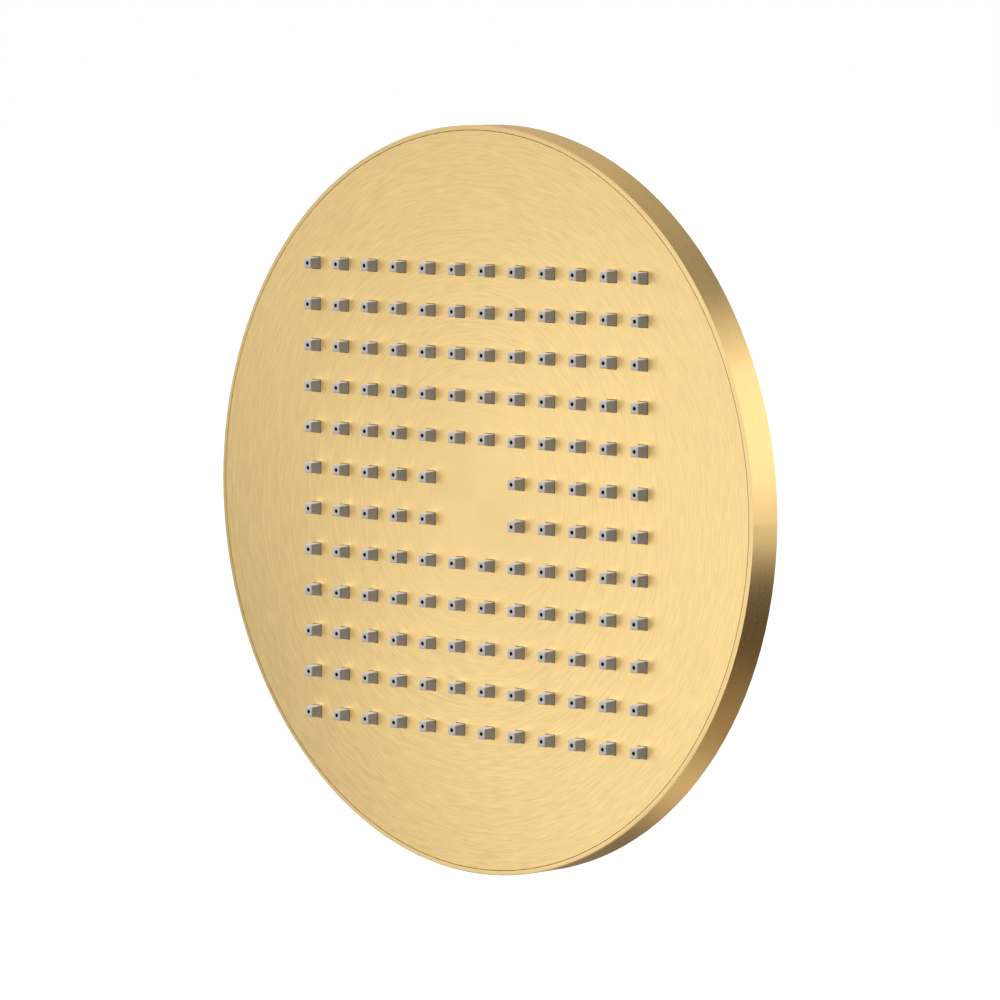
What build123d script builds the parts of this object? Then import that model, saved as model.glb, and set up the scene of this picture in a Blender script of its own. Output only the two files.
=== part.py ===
from build123d import *
import math
import os

# Fixed rain shower head: a flat round head with a square field of soft nozzles, carried on a ball
# joint whose collar screws onto the pipe of a shower arm. Lengths are in millimetres, angles in degrees.
# Y runs along the inlet: the mouth of the collar is at the origin and opens towards +Y, the spray face
# looks towards -Y, and Z is up.

# Head shell and face
head_diameter = 250.0
head_thickness = 12.0
shell_wall = 1.5
lip_width = 1.55
edge_break = 0.3
seam_gap = 0.2
face_thickness = 1.5

# Nozzle field
grid_pitch = 14.0
grid_count = 12
middle_count = 2
nozzle_stand = 4.2
nozzle_tip_width = 3.45
nozzle_root_width = 4.1
nozzle_clearance = 0.15
outlet_diameter = 1.35
feed_diameter = 2.6
outlet_sides = 6
mat_thickness = 1.6

# Backing plate, its studs and its seal
backing_thickness = 2.4
rim_width = 5.3
rim_height = 2.8
rim_clearance = 0.5
slot_width = 3.4
seal_width = 2.5
groove_depth = 2.4
seal_clearance = 0.05
stud_diameter = 3.0
stud_spread = 28.0
stud_spare = 0.7
stud_clearance = 0.3
nut_across = 5.5
nut_height = 2.4

# Centre hub and spigot
spigot_diameter = 22.0
spigot_bore = 13.0
spigot_foot_gap = 0.5
hub_wall = 2.2
hub_clearance = 0.3
hub_gasket_thickness = 0.8
port_width = 5.0
port_height = 3.0
port_count = 6
thread_clearance = 0.05
shell_clearance = 0.3
flange_diameter = 40.0
flange_thickness = 2.2
flange_bevel = 0.8
flange_seal_width = 2.0
flange_seal_height = 1.2
flange_seal_step = 2.5

# Ball joint
ball_diameter = 20.0
neck_diameter = 11.0
water_bore = 7.0
tilt_limit = 15.0
tilt_clearance = 0.4
ball_clearance = 0.05
seat_wall = 1.8
seat_low_angle = 38.0
seat_high_angle = 62.0
seat_foot = 0.7
seat_seal_width = 2.0
seat_seal_height = 1.4
seat_seal_step = 1.8
socket_floor = 1.6
socket_wall = 2.15
socket_rise = 3.5
grip_low_angle = 80.0
grip_high_angle = 52.0
fit_clearance = 0.05
nut_wall = 1.95
nut_cap = 3.0
nut_foot_gap = 0.5
hex_bevel = 1.6

# Inlet collar
inlet_thread_diameter = 20.96
inlet_thread_length = 8.5
collar_wall = 1.52
collar_length = 14.5
collar_cone = 4.5
neck_reach = 11.0
washer_room = 2.2
washer_thickness = 2.0
washer_bore = 12.0
washer_clearance = 0.28
undercut_depth = 0.4
regulator_pocket = 14.0
regulator_height = 4.0
regulator_wall = 1.8
regulator_floor = 1.2
regulator_gap = 0.6
regulator_hole = 1.8
regulator_hole_circle = 5.4
regulator_hole_count = 6
regulator_spare = 0.3
regulator_seal_width = 1.6
regulator_seal_depth = 0.8
filter_thickness = 0.4
filter_rise = 0.8
filter_flat = 4.0
filter_grip = 0.7

# Radii
head_radius = head_diameter / 2
cavity_radius = head_radius - lip_width
plate_radius = cavity_radius - seam_gap
backing_radius = cavity_radius - rim_clearance
field_radius = backing_radius - rim_width
stud_radius = stud_diameter / 2
spigot_radius = spigot_diameter / 2
hub_bore_radius = spigot_radius + thread_clearance
hub_radius = hub_bore_radius + hub_wall
ball_radius = ball_diameter / 2
neck_radius = neck_diameter / 2
ball_hollow_radius = ball_radius + ball_clearance
seat_radius = ball_radius + seat_wall
socket_radius = seat_radius + fit_clearance
socket_outer_radius = socket_radius + socket_wall
nut_thread_radius = socket_outer_radius + thread_clearance
nut_half_width = nut_thread_radius + nut_wall
inlet_radius = inlet_thread_diameter / 2
collar_half_width = inlet_radius + collar_wall

# Depths along Y, from the inlet's mouth down to the nozzle tips
thread_end = -inlet_thread_length
washer_floor = thread_end - washer_room
regulator_top = washer_floor - regulator_spare
regulator_seat = regulator_top - regulator_height
collar_low = -collar_length
neck_top = collar_low - collar_cone
ball_middle = neck_top - neck_reach
grip_top = ball_middle + ball_radius * math.cos(math.radians(grip_high_angle))
grip_bottom = ball_middle + ball_radius * math.cos(math.radians(grip_low_angle))
nut_top = grip_top + nut_cap
socket_top = ball_middle + socket_rise
seat_top = ball_middle - ball_radius * math.cos(math.radians(seat_high_angle))
seat_bottom = ball_middle - ball_radius * math.cos(math.radians(seat_low_angle)) - seat_foot
shell_back = seat_bottom - socket_floor
flange_top = shell_back + flange_thickness
nut_bottom = flange_top + nut_foot_gap
shell_inside = shell_back - shell_wall
hub_top = shell_inside - hub_gasket_thickness
face_front = shell_back - head_thickness
face_back = face_front + face_thickness
mat_back = face_back + mat_thickness
backing_back = mat_back + backing_thickness
rim_top = backing_back + rim_height
seal_bottom = (face_back + rim_top - seal_width) / 2
seal_top = seal_bottom + seal_width
nozzle_tip = face_front - nozzle_stand


def ring(inner: float, outer: float, low: float, high: float) -> Sketch:
    """Section of a ring between two radii and two depths, drawn beside the inlet's axis."""
    return Pos((inner + outer) / 2, (low + high) / 2) * Rectangle(outer - inner, high - low)


def turned(section: Sketch) -> Part:
    """Section turned about the inlet's axis."""
    return revolve(section, Axis.Y)


def layer(depth: float) -> Plane:
    """Plane across the inlet's axis, with outlines drawn as seen from the front."""
    return Plane.XZ.offset(-depth)


def prism(outline: Sketch, low: float, high: float) -> Part:
    """Outline carried straight from one depth to another."""
    return extrude(layer(high) * outline, high - low)


def drafted(outline: Sketch, low: float, high: float, narrowing: float) -> Part:
    """Prism whose sides lean in towards the front by the given amount."""
    blank = prism(outline, low, high)
    sides = [face for face in blank.faces() if abs(face.normal_at().Y) < 0.5]
    lean = math.degrees(math.atan2(narrowing, high - low))
    return draft(sides, layer(high), lean)


def shifted(place: Location) -> Pos:
    """Place on the spray face as a move of a solid."""
    return Pos(place.position.X, 0, place.position.Y)


def nozzle_places() -> list[Location]:
    """Square grid without its middle nozzles and without any that would miss the mat."""
    middle_half = grid_pitch * middle_count / 2
    corner = nozzle_root_width / math.sqrt(2)
    places = []
    for place in GridLocations(grid_pitch, grid_pitch, grid_count, grid_count):
        across, up = place.position.X, place.position.Y
        in_middle = max(abs(across), abs(up)) < middle_half
        if not in_middle and math.hypot(across, up) + corner + slot_width < field_radius:
            places.append(place)
    return places


def mat_outline(gap: float) -> Sketch:
    """Square under the nozzle field, kept inside the backing plate's rim, less a gap all round."""
    width = grid_pitch * grid_count - 2 * gap
    return Rectangle(width, width) & Circle(field_radius - gap)


def stud_places() -> list[Location]:
    """Two studs beside each edge of the nozzle field, halfway to the backing plate's rim."""
    grid_edge = grid_pitch * (grid_count - 1) / 2 + nozzle_root_width / 2
    reach = (grid_edge + field_radius) / 2
    pair = [(reach, stud_spread), (reach, -stud_spread)]
    return [Rot(0, 0, 90 * side) * Pos(*spot) for side in range(4) for spot in pair]


def port_bars(width: float, low: float, high: float) -> Part:
    """Bars across the hub that cut a circle of ports."""
    half = hub_radius + hub_wall
    bars = [Rot(0, 0, 360 / port_count * turn) * Pos(half / 2, 0) for turn in range(port_count)]
    return prism(Sketch() + [bar * Rectangle(half, width) for bar in bars], low, high)


def neck_room(depth: float) -> float:
    """Radius that clears the neck at this depth when the head is tilted to its limit."""
    tilt = math.radians(tilt_limit)
    return (depth - ball_middle) * math.tan(tilt) + neck_radius / math.cos(tilt) + tilt_clearance


def has_depth(vertex: Vertex, depths: list[float]) -> bool:
    """Whether a vertex lies at one of the given depths."""
    return any(math.isclose(vertex.Y, depth, abs_tol=0.001) for depth in depths)


def hexagon(half_width: float, low: float, high: float, bevels: list[float]) -> Part:
    """Hexagon bar with the corners turned off at the given ends."""
    corner = half_width / math.cos(math.radians(30))
    bar = prism(RegularPolygon(half_width, 6, major_radius=False), low, high)
    blank = ring(0, corner, low, high)
    rims = blank.vertices().filter_by(lambda vertex: vertex.X > half_width and has_depth(vertex, bevels))
    return bar & turned(chamfer(rims, hex_bevel / 2, hex_bevel))


def back_shell() -> Part:
    """Flat dish with a plain rim whose lip frames the face plate."""
    blank = ring(0, head_radius, face_front, shell_back)
    rims = blank.vertices().filter_by(lambda vertex: vertex.X > cavity_radius)
    cavity = ring(0, cavity_radius, face_front, shell_inside)
    opening = ring(0, spigot_radius + shell_clearance, shell_inside, shell_back)
    return turned(chamfer(rims, edge_break) - cavity - opening)


def face_plate() -> Part:
    """Disc with a square hole for each nozzle and weld studs on its back."""
    hole_width = nozzle_root_width + 2 * nozzle_clearance
    holes = [place * Rectangle(hole_width, hole_width) for place in nozzle_places()]
    disc = prism(Circle(plate_radius) - holes, face_front, face_back)
    stud_end = backing_back + nut_height + stud_spare
    studs = [prism(place * Circle(stud_radius), face_back, stud_end) for place in stud_places()]
    return disc + studs


def nozzle_mat() -> Part:
    """Silicone sheet with a square tapered nozzle at every place, bored from feed to outlet."""
    outline = mat_outline(fit_clearance) - Circle(hub_radius + hub_clearance)
    sheet = prism(outline, face_back, mat_back)
    root = Rectangle(nozzle_root_width, nozzle_root_width)
    nozzle = drafted(root, nozzle_tip, face_back, (nozzle_root_width - nozzle_tip_width) / 2)
    feed = RegularPolygon(feed_diameter / 2, outlet_sides, major_radius=False)
    bore = drafted(feed, nozzle_tip, mat_back, (feed_diameter - outlet_diameter) / 2)
    moves = [shifted(place) for place in nozzle_places()]
    return sheet + [move * nozzle for move in moves] - [move * bore for move in moves]


def feed_slots() -> list[Sketch]:
    """One slot behind each half row of nozzles."""
    rows = {}
    for place in nozzle_places():
        across, up = place.position.X, place.position.Y
        rows.setdefault((round(up, 3), across > 0), []).append(across)
    slots = []
    for (up, _), row in rows.items():
        length = max(row) - min(row) + slot_width
        slots.append(Pos((max(row) + min(row)) / 2, up) * Rectangle(length, slot_width))
    return slots


def backing_plate() -> Part:
    """Plate with a bed for the mat, a raised rim that carries the seal, feed slots and stud holes."""
    web = ring(hub_radius + hub_clearance, backing_radius, face_back, backing_back)
    rim = ring(field_radius, backing_radius, backing_back, rim_top)
    groove = ring(backing_radius - groove_depth, backing_radius, seal_bottom, seal_top)
    bed = prism(mat_outline(0), face_back, mat_back)
    slots = prism(Sketch() + feed_slots(), mat_back, backing_back)
    holes = [place * Circle(stud_radius + stud_clearance) for place in stud_places()]
    return turned(web + rim - groove) - bed - slots - prism(Sketch() + holes, face_back, backing_back)


def plate_nuts() -> Compound:
    """Hexagon nuts on the studs."""
    hexagon_face = RegularPolygon(nut_across / 2, 6, major_radius=False)
    outline = hexagon_face - Circle(stud_radius + thread_clearance)
    nuts = [prism(place * outline, backing_back, backing_back + nut_height) for place in stud_places()]
    return Compound(children=nuts)


def rim_seal() -> Part:
    """Square-cut ring between the backing plate and the inside of the rim."""
    inner = backing_radius - groove_depth
    return turned(ring(inner, cavity_radius - seal_clearance, seal_bottom, seal_top))


def centre_hub() -> Part:
    """Threaded ring on the face plate's back, with ports cut in its top."""
    blank = turned(ring(hub_bore_radius, hub_radius, face_back, hub_top))
    return blank - port_bars(port_width, hub_top - port_height, hub_top)


def hub_gasket() -> Part:
    """Flat ring between the hub and the shell."""
    return turned(ring(spigot_radius + shell_clearance, hub_radius, hub_top, shell_inside))


def socket_spigot() -> Part:
    """Hollow bolt with ports, a flange on the shell and the cup for the ball."""
    bore_radius = spigot_bore / 2
    stub = ring(bore_radius, spigot_radius, face_back + spigot_foot_gap, seat_bottom)
    flange = ring(socket_radius, flange_diameter / 2, shell_back, flange_top)
    rims = flange.vertices().filter_by(lambda vertex: vertex.X > socket_radius and vertex.Y > shell_back)
    wall = ring(socket_radius, socket_outer_radius, shell_back, socket_top)
    floor = ring(bore_radius, socket_outer_radius, shell_back, seat_bottom)
    body = stub + chamfer(rims, flange_bevel) + wall + floor
    turning = turned(body - seat_seal_section() - flange_seal_section())
    return turning - port_bars(port_width, hub_top - port_height, hub_top)


def flange_seal_section() -> Sketch:
    """Groove under the flange, filled by the spigot's seal."""
    inner = spigot_radius + flange_seal_step
    return ring(inner, inner + flange_seal_width, shell_back, shell_back + flange_seal_height)


def spigot_seal() -> Part:
    """Square-cut ring between the flange and the shell."""
    return turned(flange_seal_section())


def seat_seal_section() -> Sketch:
    """Groove in the socket's floor, filled by the seat's seal."""
    inner = spigot_bore / 2 + seat_seal_step
    return ring(inner, inner + seat_seal_width, seat_bottom - seat_seal_height, seat_bottom)


def seat_seal() -> Part:
    """Square-cut ring under the ball seat."""
    return turned(seat_seal_section())


def half_disc(radius: float) -> Sketch:
    """Half section of a ball about the middle of the joint."""
    half = ring(0, radius, ball_middle - radius, ball_middle + radius)
    return (Pos(0, ball_middle) * Circle(radius)) & half


def ball_seat() -> Part:
    """Ring under the ball with a hollow round face."""
    bore = ball_radius * math.sin(math.radians(seat_low_angle))
    return turned(ring(bore, seat_radius, seat_bottom, seat_top) - half_disc(ball_hollow_radius))


def grip_ring() -> Part:
    """Ring over the ball with a hollow round face."""
    section = ring(neck_room(grip_top), seat_radius, grip_bottom, grip_top)
    return turned(section - half_disc(ball_hollow_radius))


def swivel_nut() -> Part:
    """Hexagon nut with an opening that lets the neck tilt."""
    blank = hexagon(nut_half_width, nut_bottom, nut_top, [nut_bottom, nut_top])
    thread = ring(0, nut_thread_radius, nut_bottom, socket_top + fit_clearance)
    cup = ring(0, socket_radius, nut_bottom, grip_top)
    low, high = neck_room(grip_top), neck_room(nut_top)
    opening = make_face(Polyline((0, grip_top), (low, grip_top), (high, nut_top), (0, nut_top), close=True))
    return blank - turned(thread + cup + opening + half_disc(ball_radius + tilt_clearance))


def swivel_ball() -> Part:
    """Ball, neck and hexagon collar with the inlet thread's bore, all one piece."""
    neck = ring(0, neck_radius, ball_middle, neck_top)
    cone_points = [(0, neck_top), (neck_radius, neck_top), (collar_half_width, collar_low), (0, collar_low)]
    cone = make_face(Polyline(*cone_points, close=True))
    thread = ring(0, inlet_radius, thread_end, 0)
    undercut = ring(0, inlet_radius + undercut_depth, washer_floor, thread_end)
    pocket = ring(0, regulator_pocket / 2, regulator_seat, washer_floor)
    waterway = ring(0, water_bore / 2, ball_middle - ball_radius, regulator_seat)
    collar = hexagon(collar_half_width, collar_low, 0, [0])
    blank = turned(half_disc(ball_radius) + neck + cone) + collar
    return blank - turned(thread + undercut + pocket + waterway)


def regulator_radius() -> float:
    """Outer radius of the flow regulator."""
    return regulator_pocket / 2 - regulator_gap


def regulator_seal_section(clearance: float) -> Sketch:
    """Ring round the regulator, less a clearance to the pocket's wall."""
    middle = (regulator_seat + regulator_top) / 2
    low, high = middle - regulator_seal_width / 2, middle + regulator_seal_width / 2
    inner = regulator_radius() - regulator_seal_depth
    return ring(inner, regulator_pocket / 2 - clearance, low, high)


def flow_regulator() -> Part:
    """Plastic cup with a ring of holes in its floor and a groove for its seal."""
    radius = regulator_radius()
    blank = ring(0, radius, regulator_seat, regulator_top)
    hollow = ring(0, radius - regulator_wall, regulator_seat + regulator_floor, regulator_top)
    places = PolarLocations(regulator_hole_circle / 2, regulator_hole_count)
    holes = Sketch() + [place * Circle(regulator_hole / 2) for place in places]
    return turned(blank - hollow - regulator_seal_section(0)) - prism(holes, regulator_seat, regulator_top)


def regulator_seal() -> Part:
    """Square-cut ring round the flow regulator."""
    return turned(regulator_seal_section(seal_clearance))


def filter_section() -> Sketch:
    """Disc raised in its middle, whose rim is held in the washer."""
    low = washer_floor + (washer_thickness - filter_thickness) / 2
    foot_radius = washer_bore / 2
    raised = [(0, low + filter_rise), (filter_flat, low + filter_rise)]
    under = [*raised, (foot_radius, low), (foot_radius + filter_grip, low)]
    over = [(radius, depth + filter_thickness) for radius, depth in reversed(under)]
    return make_face(Polyline(*under, *over, close=True))


def inlet_washer() -> Part:
    """Rubber washer at the bottom of the thread, grooved for the filter."""
    outer = inlet_radius - washer_clearance
    blank = ring(washer_bore / 2, outer, washer_floor, washer_floor + washer_thickness)
    return turned(blank - filter_section())


def inlet_filter() -> Part:
    """Filter disc in the washer."""
    return turned(filter_section())


PIECES = [
    back_shell,
    face_plate,
    nozzle_mat,
    backing_plate,
    plate_nuts,
    rim_seal,
    centre_hub,
    hub_gasket,
    socket_spigot,
    spigot_seal,
    ball_seat,
    seat_seal,
    grip_ring,
    swivel_nut,
    swivel_ball,
    flow_regulator,
    regulator_seal,
    inlet_washer,
    inlet_filter,
]

os.makedirs("parts", exist_ok=True)
for piece in PIECES:
    export_step(piece(), f"parts/{piece.__name__}.step")
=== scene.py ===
"""Finishes, fine pieces and studio for a fixed rain shower head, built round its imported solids."""

import logging
import math
from collections.abc import Iterable, Sequence
from dataclasses import dataclass, field
from enum import Enum

import bmesh
import bpy
from mathutils import Matrix, Vector


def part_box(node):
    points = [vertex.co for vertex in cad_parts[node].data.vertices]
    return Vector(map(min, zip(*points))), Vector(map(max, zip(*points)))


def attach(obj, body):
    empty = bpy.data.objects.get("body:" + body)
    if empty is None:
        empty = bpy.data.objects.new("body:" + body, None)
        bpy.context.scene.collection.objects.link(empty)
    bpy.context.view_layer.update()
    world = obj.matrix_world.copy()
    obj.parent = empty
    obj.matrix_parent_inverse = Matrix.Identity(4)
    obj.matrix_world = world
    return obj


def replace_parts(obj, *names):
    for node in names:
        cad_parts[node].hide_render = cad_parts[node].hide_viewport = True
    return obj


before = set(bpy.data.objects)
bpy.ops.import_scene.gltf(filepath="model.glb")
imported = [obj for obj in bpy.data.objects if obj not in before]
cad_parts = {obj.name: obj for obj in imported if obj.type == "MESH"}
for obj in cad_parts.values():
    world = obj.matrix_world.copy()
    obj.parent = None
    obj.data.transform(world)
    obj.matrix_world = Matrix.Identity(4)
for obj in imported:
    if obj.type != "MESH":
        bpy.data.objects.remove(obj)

LOG = logging.getLogger("shower_head")
Colour = tuple[float, float, float, float]
Outline = list[tuple[float, float]]


def srgb(red: int, green: int, blue: int) -> Colour:
    """Turns a colour as it is seen on a screen into the linear one that shaders use.

    Args:
        red: red from 0 to 255.
        green: green from 0 to 255.
        blue: blue from 0 to 255.

    Returns:
        The linear colour with a full alpha.
    """
    parts = [channel / 255 for channel in (red, green, blue)]
    linear = [part / 12.92 if part <= 0.04045 else ((part + 0.055) / 1.055) ** 2.4 for part in parts]
    return (*linear, 1.0)


class Bench:
    """Places and links nodes in one node tree."""

    def __init__(self, tree: bpy.types.NodeTree) -> None:
        """Takes the tree to work on."""
        self.tree = tree

    @classmethod
    def emptied(cls, owner: bpy.types.Material | bpy.types.World) -> "Bench":
        """Empties the node tree of a material or of the world.

        Args:
            owner: what has the tree.

        Returns:
            A bench on that tree.
        """
        owner.use_nodes = True
        owner.node_tree.nodes.clear()
        return cls(owner.node_tree)

    def node(self, kind: str, feeds: dict | None = None, **settings: object) -> bpy.types.Node:
        """Adds a node and feeds its inputs.

        Args:
            kind: Blender's name for the type of node.
            feeds: a value or an output socket for each input, by the input's name or number.
            settings: the node's own properties.

        Returns:
            The new node.
        """
        made = self.tree.nodes.new(kind)
        for name, value in settings.items():
            setattr(made, name, value)
        for socket, value in (feeds or {}).items():
            if isinstance(value, bpy.types.NodeSocket):
                self.tree.links.new(value, made.inputs[socket])
            else:
                made.inputs[socket].default_value = value
        return made

    def sum(self, operation: str, *values: object) -> bpy.types.NodeSocket:
        """Adds a math node.

        Args:
            operation: the sum to do.
            values: a number or an output socket for each input in turn.

        Returns:
            The node's result.
        """
        return self.node("ShaderNodeMath", dict(enumerate(values)), operation=operation).outputs[0]

    def mix(self, share: bpy.types.NodeSocket, first: bpy.types.NodeSocket,
            second: Colour) -> bpy.types.NodeSocket:
        """Adds a mix of two colours.

        Args:
            share: share of the second colour.
            first: the first colour.
            second: the second colour.

        Returns:
            The mixed colour.
        """
        made = self.node("ShaderNodeMix", {"Factor": share}, data_type="RGBA")
        one, two = (socket for socket in made.inputs if socket.type == "RGBA")
        self.tree.links.new(first, one)
        two.default_value = second
        return next(socket for socket in made.outputs if socket.type == "RGBA")

    def noise(self, vector: bpy.types.NodeSocket, scale: float, detail: float) -> bpy.types.NodeSocket:
        """Adds a noise texture.

        Args:
            vector: where the texture is read.
            scale: how often it changes per unit of the vector.
            detail: how many finer layers it has.

        Returns:
            The noise, from 0 to 1.
        """
        feeds = {"Vector": vector, "Scale": scale, "Detail": detail}
        return self.node("ShaderNodeTexNoise", feeds).outputs["Fac"]


class SurfaceEffect:
    """Shader node group that varies a colour, a roughness and a height over a surface."""

    name: str
    inputs: dict[str, str]
    outputs = {"Colour": "NodeSocketColor", "Roughness": "NodeSocketFloat", "Height": "NodeSocketFloat"}
    mean = 0.5

    def group(self) -> bpy.types.NodeTree:
        """Gives the group, built the first time it is asked for."""
        return bpy.data.node_groups.get(self.name) or self.build()

    def build(self) -> bpy.types.NodeTree:
        """Builds the group's sockets and nodes.

        Returns:
            The new group.
        """
        tree = bpy.data.node_groups.new(self.name, "ShaderNodeTree")
        for name, kind in self.inputs.items():
            tree.interface.new_socket(name, in_out="INPUT", socket_type=kind)
        for name, kind in self.outputs.items():
            tree.interface.new_socket(name, in_out="OUTPUT", socket_type=kind)
        bench = Bench(tree)
        given = bench.node("NodeGroupInput").outputs
        bench.node("NodeGroupOutput", self.vary(bench, given))
        return tree

    def vary(self, bench: Bench, given: bpy.types.NodeOutputs) -> dict[str, bpy.types.NodeSocket]:
        """Builds the nodes between the group's inputs and its outputs."""
        raise NotImplementedError

    def spread(self, bench: Bench, given: bpy.types.NodeOutputs,
               value: bpy.types.NodeSocket) -> dict[str, bpy.types.NodeSocket]:
        """Spreads one varying value over the three outputs.

        Args:
            bench: the group's bench.
            given: the group's inputs.
            value: the varying value, which swings about the mean.

        Returns:
            The socket for each of the group's outputs.
        """
        swing = bench.sum("SUBTRACT", value, self.mean)
        shade = bench.sum("MULTIPLY_ADD", swing, given["Contrast"], 1.0)
        tint = bench.node("ShaderNodeVectorMath", {0: given["Colour"], "Scale": shade}, operation="SCALE")
        rough = bench.sum("MULTIPLY_ADD", swing, given["Unevenness"], given["Roughness"])
        return {"Colour": tint.outputs[0], "Roughness": rough, "Height": value}


class Hairlines(SurfaceEffect):
    """Fine strokes that run round the Y axis, as a turning brush leaves them."""

    name = "hairline_brushing"
    inputs = {
        "Position": "NodeSocketVector",
        "Colour": "NodeSocketColor",
        "Roughness": "NodeSocketFloat",
        "Strokes Along": "NodeSocketFloat",
        "Strokes Across": "NodeSocketFloat",
        "Contrast": "NodeSocketFloat",
        "Unevenness": "NodeSocketFloat",
        "Calm Radius": "NodeSocketFloat",
        "Front Blur": "NodeSocketFloat",
        "Facing": "NodeSocketVector",
    }
    broad_share = 0.16
    broad_detail = 1.0
    fine_weight = 0.86
    fine_detail = 2.0

    def vary(self, bench: Bench, given: bpy.types.NodeOutputs) -> dict[str, bpy.types.NodeSocket]:
        """Stretches noise along circles about the Y axis, in a fine and a broad layer.

        The strokes fade inside the calm radius, and what faces the front is rougher by the front blur.

        Args:
            bench: the group's bench.
            given: the group's inputs.

        Returns:
            The socket for each of the group's outputs.
        """
        place = bench.node("ShaderNodeSeparateXYZ", {0: given["Position"]}).outputs
        flat = bench.node("ShaderNodeCombineXYZ", {"X": place["X"], "Y": place["Z"]}).outputs[0]
        radius = bench.node("ShaderNodeVectorMath", {0: flat}, operation="LENGTH").outputs["Value"]
        across = bench.sum("MULTIPLY", bench.sum("ADD", radius, place["Y"]), given["Strokes Across"])
        sides = [bench.sum("MULTIPLY", place[axis], given["Strokes Along"]) for axis in ("X", "Z")]
        fine = bench.node("ShaderNodeCombineXYZ", {"X": sides[0], "Y": sides[1], "Z": across}).outputs[0]
        scaled = bench.sum("MULTIPLY", across, self.broad_share)
        broad = bench.node("ShaderNodeCombineXYZ", {"X": sides[1], "Y": sides[0], "Z": scaled}).outputs[0]
        soft = bench.sum("MULTIPLY", bench.noise(broad, 1.0, self.broad_detail), 1 - self.fine_weight)
        mixed = bench.sum("MULTIPLY_ADD", bench.noise(fine, 1.0, self.fine_detail), self.fine_weight, soft)
        share = bench.sum("MINIMUM", bench.sum("DIVIDE", radius, given["Calm Radius"]), 1.0)
        value = bench.sum("MULTIPLY_ADD", bench.sum("SUBTRACT", mixed, self.mean), share, self.mean)
        results = self.spread(bench, given, value)
        facing = bench.node("ShaderNodeSeparateXYZ", {0: given["Facing"]}).outputs["Y"]
        front = bench.sum("MAXIMUM", bench.sum("MULTIPLY", facing, -1.0), 0.0)
        blurred = bench.sum("MULTIPLY_ADD", front, given["Front Blur"], results["Roughness"])
        return results | {"Roughness": blurred}


class MouldGrain(SurfaceEffect):
    """Fine grain and faint clouding of a moulded surface."""

    name = "mould_grain"
    inputs = {
        "Position": "NodeSocketVector",
        "Colour": "NodeSocketColor",
        "Roughness": "NodeSocketFloat",
        "Grains": "NodeSocketFloat",
        "Contrast": "NodeSocketFloat",
        "Unevenness": "NodeSocketFloat",
    }
    cloud_share = 0.05
    detail = 2.0

    def vary(self, bench: Bench, given: bpy.types.NodeOutputs) -> dict[str, bpy.types.NodeSocket]:
        """Adds a cloudy noise to a fine one.

        Args:
            bench: the group's bench.
            given: the group's inputs.

        Returns:
            The socket for each of the group's outputs.
        """
        cloudy = bench.sum("MULTIPLY", given["Grains"], self.cloud_share)
        layers = [bench.noise(given["Position"], scale, self.detail) for scale in (given["Grains"], cloudy)]
        value = bench.sum("MULTIPLY", bench.sum("ADD", *layers), 1 / len(layers))
        return self.spread(bench, given, value)


class Ray(Enum):
    """Kinds of rays from other surfaces, by the name that the light path gives them."""

    MATT = "Is Diffuse Ray"
    MIRRORED = "Is Glossy Ray"


@dataclass(frozen=True)
class Echo:
    """Colour that a surface shows to rays from other surfaces, where that isn't its own: painted light or
    shade, which changes the light those surfaces get from it or the reflection they show of it.

    Attributes:
        ray: the kind of rays.
        colour: the linear colour that they meet.
    """

    ray: Ray
    colour: Colour


@dataclass(frozen=True)
class Surface:
    """What every finish of the shower head has.

    Attributes:
        colour: linear base colour.
        roughness: mean roughness.
        contrast: how far the colour swings over the surface.
        unevenness: how far the roughness swings.
        relief: height of the bumps in metres.
        echo: painted light or shade, what it shows to other surfaces instead of its own colour.
    """

    colour: Colour
    roughness: float
    contrast: float
    unevenness: float
    relief: float
    echo: Echo | None = field(default=None, kw_only=True)

    def effect(self) -> tuple[SurfaceEffect, dict[str, float]]:
        """Gives the effect that varies the surface and the values it takes."""
        raise NotImplementedError

    def constants(self) -> dict[str, object]:
        """Gives the shader's values that are the same all over the surface."""
        return {}

    def corners(self, bench: Bench) -> dict[str, bpy.types.NodeSocket]:
        """Gives the normal of softened corners, for the kinds of surface that have them."""
        return {}

    def tone(self, bench: Bench, own: bpy.types.NodeSocket) -> bpy.types.NodeSocket:
        """Gives the surface's colour, with its echo of painted light or shade where rays from other surfaces
        meet it.

        Args:
            bench: the material's bench.
            own: the surface's own colour.

        Returns:
            The colour for the shader.
        """
        if not self.echo:
            return own
        path = bench.node("ShaderNodeLightPath").outputs
        return bench.mix(path[self.echo.ray.value], own, self.echo.colour)

    def extend(self, bench: Bench, shader: bpy.types.Node) -> None:
        """Adds what this kind of surface needs beyond the common nodes."""

    def material(self, name: str) -> bpy.types.Material:
        """Builds the material.

        Args:
            name: the material's name.

        Returns:
            The new material.
        """
        made = bpy.data.materials.new(name)
        bench = Bench.emptied(made)
        effect, values = self.effect()
        place = bench.node("ShaderNodeTexCoord").outputs
        places = {"Position": place["Object"], "Facing": place["Normal"]}
        feeds = {socket: source for socket, source in places.items() if socket in effect.inputs}
        feeds |= {"Colour": self.colour, "Roughness": self.roughness}
        feeds |= {"Contrast": self.contrast, "Unevenness": self.unevenness}
        varied = bench.node("ShaderNodeGroup", feeds | values, node_tree=effect.group())
        relief = {"Height": varied.outputs["Height"], "Distance": self.relief}
        bump = bench.node("ShaderNodeBump", relief | self.corners(bench))
        surface = {"Base Color": self.tone(bench, varied.outputs["Colour"])}
        surface |= {"Roughness": varied.outputs["Roughness"], "Normal": bump.outputs[0]}
        shader = bench.node("ShaderNodeBsdfPrincipled", surface | self.constants())
        self.extend(bench, shader)
        bench.node("ShaderNodeOutputMaterial", {"Surface": shader.outputs[0]})
        return made


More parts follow.
